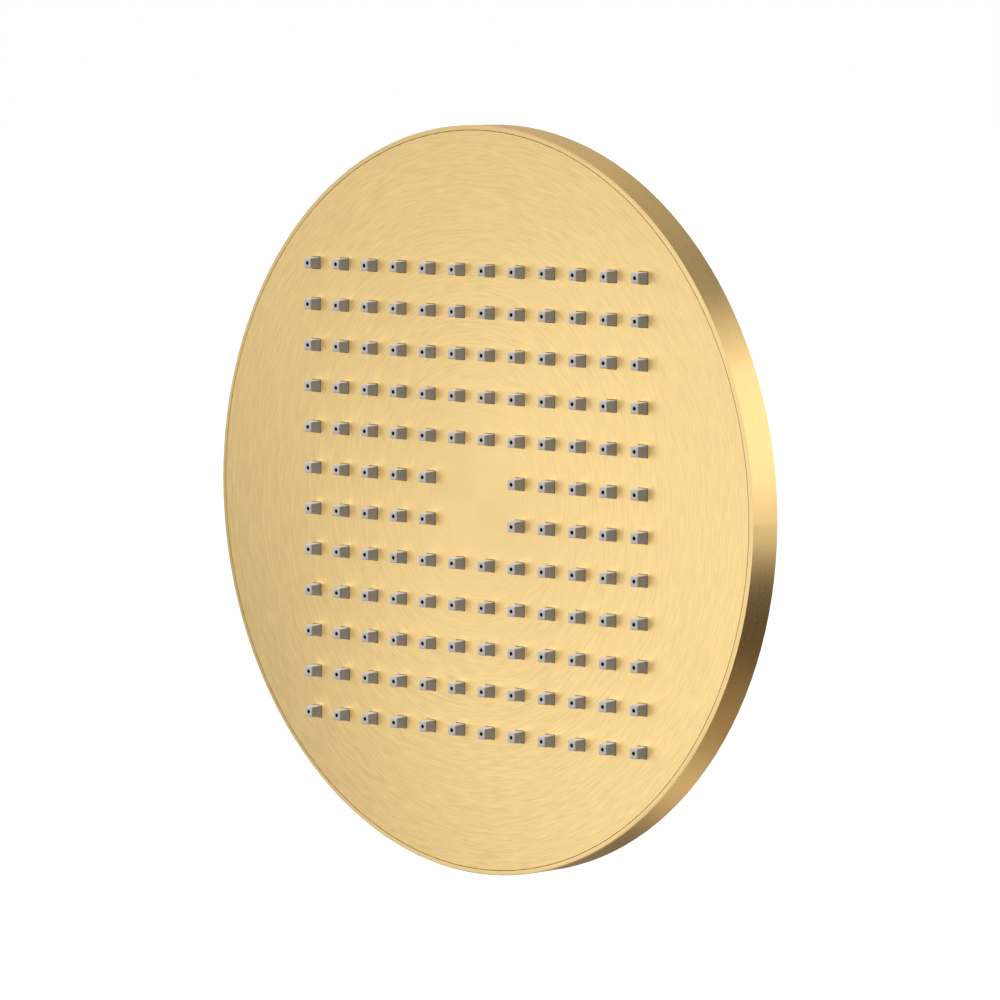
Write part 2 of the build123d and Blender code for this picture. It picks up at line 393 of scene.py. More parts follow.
@dataclass(frozen=True)
class BrushedMetal(Surface):
    """Metal brushed in circles about the inlet's axis.

    Attributes:
        edge_colour: colour of what it mirrors at a glancing angle.
        strokes_along: strokes per metre along the brushing.
        strokes_across: strokes per metre across it.
        anisotropy: how far the brushing stretches reflections.
        calm_radius: radius inside which the strokes fade.
        front_blur: how much rougher the surface is where it faces the front.
        corner_round: radius of its softened corners in metres.
    """

    edge_colour: Colour
    strokes_along: float
    strokes_across: float
    anisotropy: float
    calm_radius: float = 0.001
    front_blur: float = 0.0
    corner_round: float = 0.0
    corner_samples = 6

    def effect(self) -> tuple[SurfaceEffect, dict[str, float]]:
        """Gives the brushing, how fine it is and where it changes."""
        strokes = {"Strokes Along": self.strokes_along, "Strokes Across": self.strokes_across}
        return Hairlines(), strokes | {"Calm Radius": self.calm_radius, "Front Blur": self.front_blur}

    def constants(self) -> dict[str, object]:
        """Gives a full metal that stretches reflections."""
        return {"Metallic": 1.0, "Anisotropic": self.anisotropy, "Specular Tint": self.edge_colour}

    def corners(self, bench: Bench) -> dict[str, bpy.types.NodeSocket]:
        """Gives the normal of corners that the brush has softened.

        Args:
            bench: the material's bench.

        Returns:
            The feed for the bump's normal, or none where the corners are sharp.
        """
        if not self.corner_round:
            return {}
        bevel = bench.node("ShaderNodeBevel", {"Radius": self.corner_round}, samples=self.corner_samples)
        return {"Normal": bevel.outputs[0]}

    def extend(self, bench: Bench, shader: bpy.types.Node) -> None:
        """Turns the stretched reflections round the inlet's axis."""
        lay = bench.node("ShaderNodeTangent", direction_type="RADIAL", axis="Y")
        bench.tree.links.new(lay.outputs[0], shader.inputs["Tangent"])


@dataclass(frozen=True)
class Moulding(Surface):
    """Silicone, rubber or plastic as it leaves its mould.

    Attributes:
        grains: grains per metre.
    """

    grains: float

    def effect(self) -> tuple[SurfaceEffect, dict[str, float]]:
        """Gives the grain and how fine it is."""
        return MouldGrain(), {"Grains": self.grains}


WHITE = srgb(255, 255, 255)
GOLD = srgb(251, 220, 156)
GOLD_EDGE = srgb(253, 242, 220)


class Finish(Enum):
    """Finishes of the shower head, named as the record's material slots, and that of the bores, a darker
    copy of the silicone that is painted shade.
    """

    SHELL_GOLD = BrushedMetal(
        GOLD, roughness=0.27, contrast=0.18, unevenness=0.10, relief=2e-6, edge_colour=GOLD_EDGE,
        strokes_along=60.0, strokes_across=1500.0, anisotropy=0.65, calm_radius=0.02, front_blur=0.19,
    )
    FACE_GOLD = BrushedMetal(
        GOLD, roughness=0.46, contrast=0.48, unevenness=0.16, relief=2e-6, edge_colour=GOLD_EDGE,
        strokes_along=140.0, strokes_across=2000.0, anisotropy=0.3, calm_radius=0.06,
        # Painted shade: the face plate shows a darker, greyer gold to matt rays, which dims the gold light
        # it bounces onto the nozzles' sides.
        echo=Echo(Ray.MATT, (0.51, 0.41, 0.25, 1.0)),
    )
    FITTING_GOLD = BrushedMetal(
        GOLD, roughness=0.24, contrast=0.12, unevenness=0.10, relief=2e-6, edge_colour=GOLD_EDGE,
        strokes_along=120.0, strokes_across=5000.0, anisotropy=0.4, corner_round=0.00045,
    )
    PLAIN_BRASS = BrushedMetal(
        srgb(205, 170, 105), roughness=0.32, contrast=0.2, unevenness=0.15, relief=3e-6,
        edge_colour=GOLD_EDGE, strokes_along=200.0, strokes_across=6000.0, anisotropy=0.3,
    )
    FASTENER_STEEL = BrushedMetal(
        srgb(188, 188, 186), roughness=0.3, contrast=0.15, unevenness=0.12, relief=2e-6,
        edge_colour=WHITE, strokes_along=300.0, strokes_across=8000.0, anisotropy=0.2,
    )
    FILTER_STEEL = BrushedMetal(
        srgb(176, 177, 176), roughness=0.33, contrast=0.2, unevenness=0.15, relief=2e-6,
        edge_colour=WHITE, strokes_along=500.0, strokes_across=9000.0, anisotropy=0.2,
    )
    NOZZLE_SILICONE = Moulding(
        srgb(190, 186, 180), roughness=0.5, contrast=0.10, unevenness=0.16, relief=1e-5, grains=3500.0,
        # Painted reflection: the silicone shows a colour brighter than white to mirrored rays, which
        # lightens its mirror image in the face plate beside each nozzle.
        echo=Echo(Ray.MIRRORED, (1.35, 1.27, 1.12, 1.0)),
    )
    # Painted shade: the nozzles' silicone made darker for the bores' walls, where little light comes.
    NOZZLE_BORE = Moulding(
        srgb(78, 77, 74), roughness=0.45, contrast=0.10, unevenness=0.16, relief=1e-5, grains=3500.0,
    )
    SEAL_RUBBER = Moulding(
        srgb(46, 46, 47), roughness=0.6, contrast=0.25, unevenness=0.2, relief=3e-5, grains=2600.0,
    )
    BACKING_PLASTIC = Moulding(
        srgb(60, 60, 61), roughness=0.5, contrast=0.12, unevenness=0.16, relief=3e-5, grains=1600.0,
    )
    SEAT_PLASTIC = Moulding(
        srgb(236, 234, 226), roughness=0.38, contrast=0.06, unevenness=0.12, relief=2e-5, grains=2200.0,
    )
    REGULATOR_PLASTIC = Moulding(
        srgb(96, 128, 152), roughness=0.42, contrast=0.12, unevenness=0.16, relief=2e-5, grains=2200.0,
    )

    def material(self) -> bpy.types.Material:
        """Gives the finish's material, built the first time it is asked for."""
        name = f"{self.slot}_finish"
        return bpy.data.materials.get(name) or self.value.material(name)

    @property
    def slot(self) -> str:
        """The record's slot of this finish."""
        return self.name.lower()


def dress(piece: bpy.types.Object, finish: Finish) -> None:
    """Gives a piece its finish.

    Args:
        piece: the piece to dress.
        finish: the finish it gets all over.
    """
    piece.data.materials.clear()
    piece.data.materials.append(finish.material())
    LOG.info("dressed %s in %s", piece.name, finish.slot)


def dress_nodes(finish: Finish, *names: str) -> None:
    """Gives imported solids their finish.

    Args:
        finish: the finish that they share.
        names: the solids' names.
    """
    for name in names:
        dress(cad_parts[name], finish)


class Weave:
    """Collects loops of points and the quads between them, and makes one mesh of them."""

    merge_distance = 1e-6
    crease = math.radians(42)

    def __init__(self) -> None:
        """Starts with nothing."""
        self.points: list[Vector] = []
        self.quads: list[tuple[int, ...]] = []

    def loop(self, points: Iterable[Vector]) -> list[int]:
        """Adds a row of points.

        Args:
            points: the points in order.

        Returns:
            Their numbers.
        """
        start = len(self.points)
        self.points.extend(points)
        return list(range(start, len(self.points)))

    def bridge(self, first: Sequence[int], second: Sequence[int], closed: bool = True) -> None:
        """Fills the band between two loops of equal length.

        Args:
            first: numbers of one loop's points.
            second: numbers of the other loop's points.
            closed: whether the loops run round to their start.
        """
        count = len(first)
        for index in range(count if closed else count - 1):
            after = (index + 1) % count
            self.quads.append((first[index], first[after], second[after], second[index]))

    def tube(self, loops: Sequence[Sequence[int]], closed: bool = False) -> None:
        """Bridges a chain of loops, each closed in itself.

        Args:
            loops: the loops in order.
            closed: whether the chain runs round to its start; otherwise both ends are capped.
        """
        for first, second in zip(loops, loops[1:]):
            self.bridge(first, second)
        if closed:
            self.bridge(loops[-1], loops[0])
        else:
            self.quads += [tuple(loops[0]), tuple(loops[-1])]

    def piece(self, name: str, body: str, finish: Finish) -> bpy.types.Object:
        """Makes the mesh a dressed piece that rides on a body.

        Args:
            name: the piece's name.
            body: the body that carries it.
            finish: its finish.

        Returns:
            The new piece.
        """
        mesh = bpy.data.meshes.new(name)
        mesh.from_pydata(self.points, [], self.quads)
        work = bmesh.new()
        work.from_mesh(mesh)
        bmesh.ops.remove_doubles(work, verts=work.verts, dist=self.merge_distance)
        bmesh.ops.recalc_face_normals(work, faces=work.faces)
        work.to_mesh(mesh)
        work.free()
        mesh.shade_smooth()
        mesh.set_sharp_from_angle(angle=self.crease)
        made = bpy.data.objects.new(name, mesh)
        bpy.context.scene.collection.objects.link(made)
        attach(made, body)
        dress(made, finish)
        return made


def on_face(across: float, up: float, depth: float) -> Vector:
    """Gives the point at a place on the spray face and a depth along the inlet."""
    return Vector((across, depth, up))


@dataclass
class NozzleMat:
    """Silicone mat whose square nozzles stand out of the face plate, with soft edges and round outlets.

    Attributes:
        pitch: distance between nozzles.
        count: nozzles along one side of the field.
        middle: nozzles left out along one side in the middle.
        root_width: width of a nozzle where it leaves the mat.
        tip_width: width of a nozzle at its tip.
        corner_round: radius of a nozzle's upright edges.
        tip_round: radius round a nozzle's tip.
        outlet_radius: radius of an outlet.
        outlet_bevel: bevel round an outlet.
        feed_radius: radius of a nozzle's bore at the back of the mat.
        hub_radius: radius of the hole for the centre hub.
        rim_limit: radius that the mat's corners keep inside.
        side_points: points along each side of a loop.
        tip_steps: steps in the rounding of a nozzle's tip.
    """

    pitch: float = 0.014
    count: int = 12
    middle: int = 2
    root_width: float = 0.0041
    tip_width: float = 0.00345
    corner_round: float = 0.00028
    tip_round: float = 0.00022
    outlet_radius: float = 0.000675
    outlet_bevel: float = 0.00006
    feed_radius: float = 0.0013
    hub_radius: float = 0.01355
    rim_limit: float = 0.1176
    side_points: int = 8
    tip_steps: int = 3

    def __post_init__(self) -> None:
        """Reads the mat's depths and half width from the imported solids."""
        low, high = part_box("nozzle_mat")
        self.tip, self.back, self.half = low.y, high.y, high.x
        self.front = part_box("backing_plate")[0].y

    def build(self) -> bpy.types.Object:
        """Builds the mat in place of its plain solid.

        Returns:
            The new piece.
        """
        weave = Weave()
        reach = (self.count - 1) / 2
        steps = [index - reach for index in range(self.count)]
        for column in steps:
            for row in steps:
                if max(abs(column), abs(row)) > self.middle / 2:
                    self.cell(weave, column, row)
        self.hub_hole(weave)
        made = weave.piece("silicone_nozzle_mat", "head", Finish.NOZZLE_SILICONE)
        # The bores' walls get the darker silicone: painted shade inside the bores.
        made.data.materials.append(Finish.NOZZLE_BORE.material())
        for face in made.data.polygons:
            face.material_index = int(self.in_bore(face.center))
        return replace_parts(made, "nozzle_mat")

    def in_bore(self, place: Vector) -> bool:
        """Tells whether a place is inside one of the nozzles' bores.

        Args:
            place: a place on the mat.

        Returns:
            Whether a bore's wall is there.
        """
        reach = self.pitch * self.count / 2
        across, up = ((way + reach) % self.pitch - self.pitch / 2 for way in (place.x, place.z))
        on_axis = math.hypot(across, up) < self.feed_radius
        return on_axis and self.tip + self.outlet_bevel < place.y < self.back

    def square(self, half: float) -> Outline:
        """Gives evenly spaced points round a sharp square, from its lower right corner.

        Args:
            half: half the square's width.

        Returns:
            The points in order.
        """
        step = 2 * half / self.side_points
        side = [(half, -half + step * index) for index in range(self.side_points)]
        return self.four_sides(side)

    def soft_square(self, half: float, radius: float) -> Outline:
        """Gives points round a square with rounded corners, from the middle of its lower right one.

        Args:
            half: half the square's width.
            radius: radius of its corners.

        Returns:
            The points, as many as the sharp square has.
        """
        inner = half - radius
        bends = self.side_points // 4
        turns = [math.radians(45 * step / bends) for step in range(bends + 1)]
        upper = [(inner + radius * math.cos(turn), inner + radius * math.sin(turn)) for turn in turns]
        lower = [(across, -up) for across, up in reversed(upper)]
        runs = self.side_points - 2 * bends
        straight = [(half, inner * (2 * run / runs - 1)) for run in range(1, runs)]
        return self.four_sides(lower + straight + upper[:-1])

    def circle(self, radius: float) -> Outline:
        """Gives points round a circle, from its lower right.

        Args:
            radius: the circle's radius.

        Returns:
            The points, as many as the sharp square has.
        """
        total = 4 * self.side_points
        turns = [math.radians(360 * index / total - 45) for index in range(total)]
        return [(radius * math.cos(turn), radius * math.sin(turn)) for turn in turns]

    @staticmethod
    def four_sides(side: Outline) -> Outline:
        """Repeats the right side's points round all four sides.

        Args:
            side: points of the right side, from below.

        Returns:
            The points of all sides in order.
        """
        points = list(side)
        for _ in range(3):
            side = [(-up, across) for across, up in side]
            points += side
        return points

    def kept_in(self, across: float, up: float, depth: float) -> Vector:
        """Gives a point of the sheet, moved inside the mat's outline where it lies outside.

        Args:
            across: the point's place across the face.
            up: its place up the face.
            depth: its depth along the inlet.

        Returns:
            The point.
        """
        across = max(-self.half, min(self.half, across))
        up = max(-self.half, min(self.half, up))
        shrink = min(1.0, self.rim_limit / max(math.hypot(across, up), self.pitch))
        return on_face(across * shrink, up * shrink, depth)

    def cell(self, weave: Weave, column: float, row: float) -> None:
        """Adds one square of the mat with its nozzle and bore.

        Args:
            weave: the mesh in the making.
            column: the nozzle's step across from the middle.
            row: the nozzle's step up from the middle.
        """
        across, up = column * self.pitch, row * self.pitch
        outline = [(across + x, up + z) for x, z in self.square(self.pitch / 2)]
        front = weave.loop(self.kept_in(x, z, self.front) for x, z in outline)
        back = weave.loop(self.kept_in(x, z, self.back) for x, z in outline)
        rings = [
            weave.loop(on_face(across + x, up + z, depth) for x, z in ring)
            for ring, depth in self.profile()
        ]
        for first, second in zip([front, *rings], [*rings, back]):
            weave.bridge(first, second)
        self.outer_wall(weave, column, row, front, back)

    def profile(self) -> list[tuple[Outline, float]]:
        """Gives a nozzle's loops from its root round its tip and down its bore.

        Returns:
            Each loop's outline and depth.
        """
        root, tip = self.root_width / 2, self.tip_width / 2
        loops = [(self.soft_square(root, self.corner_round), self.front)]
        for step in range(self.tip_steps + 1):
            turn = math.radians(90 * step / self.tip_steps)
            inset = self.tip_round * (1 - math.cos(turn))
            rise = self.tip_round * (1 - math.sin(turn))
            loops.append((self.soft_square(tip - inset, self.corner_round - inset / 2), self.tip + rise))
        loops.append((self.circle(self.outlet_radius + self.outlet_bevel), self.tip))
        loops.append((self.circle(self.outlet_radius), self.tip + self.outlet_bevel))
        loops.append((self.circle(self.feed_radius), self.back))
        return loops

    def outer_wall(self, weave: Weave, column: float, row: float, front: list[int], back: list[int]) -> None:
        """Closes the mat's edge where a cell has no neighbour.

        Args:
            weave: the mesh in the making.
            column: the cell's step across from the middle.
            row: the cell's step up from the middle.
            front: the cell's outline on the front.
            back: the cell's outline on the back.
        """
        edge = (self.count - 1) / 2
        for side, at_edge in enumerate((column == edge, row == edge, column == -edge, row == -edge)):
            if at_edge:
                run = [(side * self.side_points + step) % len(front) for step in range(self.side_points + 1)]
                weave.bridge([front[step] for step in run], [back[step] for step in run], closed=False)

    def hub_hole(self, weave: Weave) -> None:
        """Adds the middle of the mat with the hole for the hub.

        Args:
            weave: the mesh in the making.
        """
        half = self.pitch * self.middle / 2
        fine = NozzleMat(side_points=self.side_points * self.middle)
        rings = [(fine.square(half), self.front), (fine.circle(self.hub_radius), self.front)]
        rings += [(ring, self.back) for ring, _ in reversed(rings)]
        loops = [weave.loop(on_face(x, z, depth) for x, z in ring) for ring, depth in rings]
        for first, second in zip(loops, loops[1:]):
            weave.bridge(first, second)


@dataclass
class SprayHead:
    """Shell, face plate, nozzle mat and what the shell hides."""

    def build(self) -> None:
        """Builds the nozzle mat."""
        NozzleMat().build()

    def dress(self) -> None:
        """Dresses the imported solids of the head."""
        dress_nodes(Finish.SHELL_GOLD, "back_shell")
        dress_nodes(Finish.FACE_GOLD, "face_plate")
        dress_nodes(Finish.BACKING_PLASTIC, "backing_plate")
        dress_nodes(Finish.FASTENER_STEEL, "plate_nuts")
        dress_nodes(Finish.PLAIN_BRASS, "centre_hub")
        dress_nodes(Finish.SEAL_RUBBER, "rim_seal", "hub_gasket", "spigot_seal", "seat_seal")


@dataclass
class BallJoint:
    """Spigot, nut, rings and ball."""

    def dress(self) -> None:
        """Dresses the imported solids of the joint."""
        dress_nodes(Finish.FITTING_GOLD, "socket_spigot", "swivel_nut", "swivel_ball")
        dress_nodes(Finish.SEAT_PLASTIC, "ball_seat", "grip_ring")


@dataclass
class Inlet:
    """Thread, washer, filter and regulator in the collar.

    Attributes:
        thread_radius: radius at the bottom of the thread.
        thread_depth: depth of the thread.
        thread_pitch: length of one turn.
        thread_start: depth of the first turn below the mouth.
        thread_length: length of the threaded bore.
        crest_share: width of the crest as a share of the pitch.
        foot_share: half the width of the ridge's foot as a share of the pitch.
        end_rise: share of its height that the ridge gains in one turn from either end.
        end_height: share of its height that the ridge has at either end.
        steps: steps in one turn.
        sink: how far the ridge goes into the collar's wall.
        mesh_pitch: distance between the filter's wires.
        wire_radius: radius of a wire.
        wire_sides: sides of a wire.
        wire_steps: steps along a wire from one crossing to the next.
        mesh_flat: radius of the filter's raised middle.
        mesh_foot: radius where the filter's slope meets its rim.
        thickness: thickness of the filter.
        rim_inner: inner radius of the filter's rim.
        rim_edge: bevel round the rim.
    """

    thread_radius: float = 0.01048
    thread_depth: float = 0.00116
    thread_pitch: float = 0.001814
    thread_start: float = 0.0011
    thread_length: float = 0.0085
    crest_share: float = 0.18
    foot_share: float = 0.46
    end_rise: float = 3.0
    end_height: float = 0.05
    steps: int = 72
    sink: float = 0.00004
    mesh_pitch: float = 0.0006
    wire_radius: float = 0.000095
    wire_sides: int = 6
    wire_steps: int = 8
    mesh_flat: float = 0.004
    mesh_foot: float = 0.006
    thickness: float = 0.0004
    rim_inner: float = 0.00595
    rim_edge: float = 0.00006

    def __post_init__(self) -> None:
        """Reads the filter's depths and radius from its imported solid."""
        low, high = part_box("inlet_filter")
        self.mesh_low, self.mesh_high, self.mesh_radius = low.y, high.y, high.x

    def build(self) -> None:
        """Builds the thread and the filter."""
        self.build_thread()
        self.build_filter()

    def build_thread(self) -> bpy.types.Object:
        """Builds the thread's ridge inside the collar.

        Returns:
            The new piece.
        """
        weave = Weave()
        turns = (self.thread_length - 2 * self.thread_start) / self.thread_pitch
        total = round(turns * self.steps)
        loops = []
        for step in range(total + 1):
            turn = step / self.steps
            fade = min(1.0, self.end_rise * min(turn, turns - turn) + self.end_height)
            loops.append(weave.loop(self.ridge(turn, fade)))
        weave.tube(loops)
        return weave.piece("inlet_thread", "inlet", Finish.FITTING_GOLD)

    def ridge(self, turn: float, fade: float) -> list[Vector]:
        """Gives the ridge's section at a place along the thread.

        Args:
            turn: turns from the start of the thread.
            fade: height of the ridge there as a share of its full height.

        Returns:
            Its four corners.
        """
        middle = -self.thread_start - turn * self.thread_pitch
        foot = self.thread_pitch * self.foot_share
        crest = self.thread_pitch * self.crest_share / 2
        outer, inner = self.thread_radius + self.sink, self.thread_radius - self.thread_depth * fade
        corners = [(outer, foot), (inner, crest), (inner, -crest), (outer, -foot)]
        angle = math.tau * turn
        return [
            Vector((radius * math.cos(angle), middle + rise, radius * math.sin(angle)))
            for radius, rise in corners
        ]

    def build_filter(self) -> bpy.types.Object:
        """Builds the filter's woven wires and their rim in place of its plain disc.

        Returns:
            The new piece.
        """
        weave = Weave()
        reach = (self.rim_inner + self.mesh_radius) / 2
        count = int(reach / self.mesh_pitch)
        for index in range(-count, count + 1):
            offset = index * self.mesh_pitch
            half = math.sqrt(reach ** 2 - offset ** 2)
            for crossed in (False, True):
                weave.tube(self.wire(weave, offset, half, crossed))
        weave.tube(self.filter_rim(weave), closed=True)
        made = weave.piece("inlet_filter_mesh", "inlet", Finish.FILTER_STEEL)
        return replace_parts(made, "inlet_filter")

    def wire(self, weave: Weave, offset: float, half: float, crossed: bool) -> list[list[int]]:
        """Adds the loops of one wire that goes over and under those it crosses.

        Args:
            weave: the mesh in the making.
            offset: the wire's distance from the filter's middle.
            half: half its length.
            crossed: whether it runs upwards and not across.

        Returns:
            Its loops in order.
        """
        count = math.ceil(self.wire_steps * half / self.mesh_pitch)
        side = -1 if crossed else 1
        loops = []
        for step in range(count + 1):
            along = half * (2 * step / count - 1)
            wave = math.cos(math.pi * (along + offset) / self.mesh_pitch)
            middle = self.sheet(math.hypot(along, offset)) + side * self.wire_radius * wave
            turns = [math.tau * turn / self.wire_sides for turn in range(self.wire_sides)]
            section = [
                (offset + self.wire_radius * math.cos(turn), middle + self.wire_radius * math.sin(turn))
                for turn in turns
            ]
            loops.append(weave.loop(
                Vector((place, depth, along)) if crossed else Vector((along, depth, place))
                for place, depth in section
            ))
        return loops

    def sheet(self, radius: float) -> float:
        """Gives the depth of the filter's middle layer at a radius.

        Args:
            radius: distance from the inlet's axis.

        Returns:
            The depth along the inlet.
        """
        half = self.thickness / 2
        slope = (radius - self.mesh_flat) / (self.mesh_foot - self.mesh_flat)
        share = max(0.0, min(1.0, slope))
        return (1 - share) * (self.mesh_high - half) + share * (self.mesh_low + half)

    def filter_rim(self, weave: Weave) -> list[list[int]]:
        """Adds the loops of the filter's rim.

        Args:
            weave: the mesh in the making.

        Returns:
            Its sections in order round the inlet's axis.
        """
        low, high = self.mesh_low, self.mesh_low + self.thickness
        inner, outer, edge = self.rim_inner, self.mesh_radius, self.rim_edge
        section = [(inner, low + edge), (inner + edge, low), (outer - edge, low), (outer, low + edge),
                   (outer, high - edge), (outer - edge, high), (inner + edge, high), (inner, high - edge)]
        turns = [math.tau * step / self.steps for step in range(self.steps)]
        return [weave.loop(Vector((r * math.cos(turn), depth, r * math.sin(turn))) for r, depth in section)
                for turn in turns]

    def dress(self) -> None:
        """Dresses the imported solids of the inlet."""
        dress_nodes(Finish.SEAL_RUBBER, "inlet_washer", "regulator_seal")
        dress_nodes(Finish.REGULATOR_PLASTIC, "flow_regulator")


@dataclass(frozen=True)
class Shade:
    """Brightness of a card at one angle.

    Attributes:
        angle: the angle in degrees.
        level: brightness there, where 1 is the white of the studio.
        warmth: how far its colour goes from the card's own tint to its warm one.
    """

    angle: float
    level: float
    warmth: float = 0.0


class Card:
    """Stage card that only mirrored rays see, so that it shapes reflections and nothing else."""

    name: str

    def mesh(self) -> bpy.types.Mesh:
        """Gives the card's mesh."""
        raise NotImplementedError

    def pose(self) -> Matrix:
        """Gives where the card stands, which is at the origin for a card that says nothing else."""
        return Matrix.Identity(4)

    def glow(self, bench: Bench, place: bpy.types.NodeSocket) -> dict[str, object]:
        """Gives the colour and the strength of the card's light at a place on it."""
        raise NotImplementedError

    def build(self) -> bpy.types.Object:
        """Builds the card.

        Returns:
            The new stage object.
        """
        card = bpy.data.objects.new(self.name, self.mesh())
        card.matrix_world = self.pose()
        bpy.context.scene.collection.objects.link(card)
        for ray in ("camera", "diffuse", "transmission", "volume_scatter", "shadow"):
            setattr(card, f"visible_{ray}", False)
        card.data.materials.append(self.paint())
        return card

    def paint(self) -> bpy.types.Material:
        """Builds the card's glowing paint.

        Returns:
            The new material.
        """
        made = bpy.data.materials.new(self.name)
        bench = Bench.emptied(made)
        place = bench.node("ShaderNodeTexCoord").outputs["Object"]
        paint = bench.node("ShaderNodeEmission", self.glow(bench, place))
        bench.node("ShaderNodeOutputMaterial", {"Surface": paint.outputs[0]})
        return made


@dataclass
class BandCard(Card):
    """Band round the inlet's axis, shaded by angle, which the rim mirrors.

    Attributes:
        name: the card's name.
        edges: radius and place along the inlet of the band's two edges.
        span: first and last angle of the band in degrees.
        shades: shades by angle, from the left round below, right and above.
        tint: colour of the band.
        warm_tint: colour of its warm shades.
        brightest: strength of the band's light where its shade is full.
        steps: sides of the band.
    """

    name: str
    edges: tuple[tuple[float, float], tuple[float, float]]
    span: tuple[float, float]
    shades: tuple[Shade, ...]
    tint: Colour = (1.0, 0.94, 0.86, 1.0)
    warm_tint: Colour = (1.0, 0.75, 0.52, 1.0)
    brightest: float = 1.5
    steps: int = 96
    middle = 0.5

    def mesh(self) -> bpy.types.Mesh:
        """Gives a band of quads.

        Returns:
            The new mesh.
        """
        low, high = (math.radians(end) for end in self.span)
        turns = [low + (high - low) * step / self.steps for step in range(self.steps + 1)]
        points = [
            (radius * math.cos(turn), depth, radius * math.sin(turn))
            for radius, depth in self.edges for turn in turns
        ]
        count = len(turns)
        quads = [(step, step + 1, count + step + 1, count + step) for step in range(self.steps)]
        made = bpy.data.meshes.new(self.name)
        made.from_pydata(points, [], quads)
        return made

    def glow(self, bench: Bench, place: bpy.types.NodeSocket) -> dict[str, object]:
        """Gives the shade at the angle about the inlet's axis.

        Args:
            bench: the paint's bench.
            place: the place on the card.

        Returns:
            The feeds of the paint.
        """
        part = bench.node("ShaderNodeSeparateXYZ", {0: place}).outputs
        turn = bench.sum("ARCTAN2", part["Z"], part["X"])
        share = bench.sum("MULTIPLY_ADD", turn, 1 / math.tau, self.middle)
        ramp = bench.node("ShaderNodeValToRGB", {0: share})
        ramp.color_ramp.interpolation = "EASE"
        stops = ramp.color_ramp.elements
        while len(stops) < len(self.shades):
            stops.new(self.middle)
        for stop, shade in zip(stops, self.shades):
            stop.position = shade.angle / 360 + self.middle
            hue = Vector(self.tint).lerp(Vector(self.warm_tint), shade.warmth)
            stop.color = hue * shade.level / self.brightest
        return {"Color": ramp.outputs[0], "Strength": self.brightest}


@dataclass
class SquareCard(Card):
    """Square card with a soft bent shade, turned to the middle of the head.

    Attributes:
        name: the card's name.
        towards: direction from the middle of the head to the card.
        level: brightness in the middle, where 1 is the white of the studio.
        slope: change of brightness per metre across and up the card.
        bend: change of the slope across and up the card.
        twist: change of the slope across with the way up the card.
        limits: least and greatest brightness.
        distance: from the head to the card.
        half: half the card's width.
    """

    name: str
    towards: tuple[float, float, float]
    level: float
    slope: tuple[float, float]
    bend: tuple[float, float]
    twist: float
    limits: tuple[float, float]
    distance: float = 0.35
    half: float = 0.4

    def mesh(self) -> bpy.types.Mesh:
        """Gives a square.

        Returns:
            The new mesh.
        """
        signs = ((-1, -1), (1, -1), (1, 1), (-1, 1))
        corners = [(across * self.half, up * self.half, 0) for across, up in signs]
        made = bpy.data.meshes.new(self.name)
        made.from_pydata(corners, [], [(0, 1, 2, 3)])
        return made

    def pose(self) -> Matrix:
        """Turns the card to the middle of the head.

        Returns:
            Where it stands.
        """
        away = Vector(self.towards)
        middle = Vector((0.0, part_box("face_plate")[0].y, 0.0)) + away * self.distance
        return Matrix.Translation(middle) @ (-away).to_track_quat("Z", "Y").to_matrix().to_4x4()

    def glow(self, bench: Bench, place: bpy.types.NodeSocket) -> dict[str, object]:
        """Gives the bent shade at the place across and up the card.

        Args:
            bench: the paint's bench.
            place: the place on the card.

        Returns:
            The feeds of the paint.
        """
        across, up, _ = bench.node("ShaderNodeSeparateXYZ", {0: place}).outputs
        strength = bench.sum("MULTIPLY_ADD", bench.sum("MULTIPLY", across, up), self.twist, self.level)
        for way, slope, bend in zip((across, up), self.slope, self.bend):
            factor = bench.sum("MULTIPLY_ADD", way, bend, slope)
            strength = bench.sum("MULTIPLY_ADD", way, factor, strength)
        low, high = self.limits
        return {"Strength": bench.sum("MINIMUM", bench.sum("MAXIMUM", strength, low), high)}


RIM_CARD = BandCard("rim_card", edges=((0.13, 0.01), (0.8, 0.01)), span=(-180, 180), shades=(
    Shade(-180, 0.40),
    Shade(-95, 0.24),
    Shade(-78, 0.18),
    Shade(-60, 0.65, 0.3),
    Shade(-44, 0.32, 0.9),
    Shade(-24, 0.08, 0.9),
    Shade(-14, 0.09, 0.3),
    Shade(-2, 0.84),
    Shade(7, 1.25),
    Shade(27, 1.25),
    Shade(35, 0.75),
    Shade(45, 0.29),
    Shade(66, 0.43),
    Shade(86, 0.57),
    Shade(98, 0.60),
    Shade(180, 0.40),
))
SIDE_CARD = BandCard("side_card", edges=((0.7, -0.35), (0.7, 0.005)), span=(-115, 115), shades=(
    Shade(-115, 0.35),
    Shade(-80, 0.55),
    Shade(-55, 0.95),
    Shade(-30, 0.35, 0.6),
    Shade(-8, 0.30, 0.4),
    Shade(12, 0.85),
    Shade(40, 1.10),
    Shade(75, 0.75),
    Shade(115, 0.45),
))
FACE_CARD = SquareCard(
    "face_card", towards=(-0.704, -0.704, -0.087), level=1.105, slope=(-3.4, 0.42), bend=(-12.0, -8.2),
    twist=20.0, limits=(0.25, 1.3),
)
BACK_CARD = SquareCard(
    "back_card", towards=(0.0, 1.0, 0.0), level=0.75, slope=(0.45, 0.8), bend=(0.0, 0.0), twist=0.0,
    limits=(0.4, 1.1), distance=0.5, half=0.8,
)


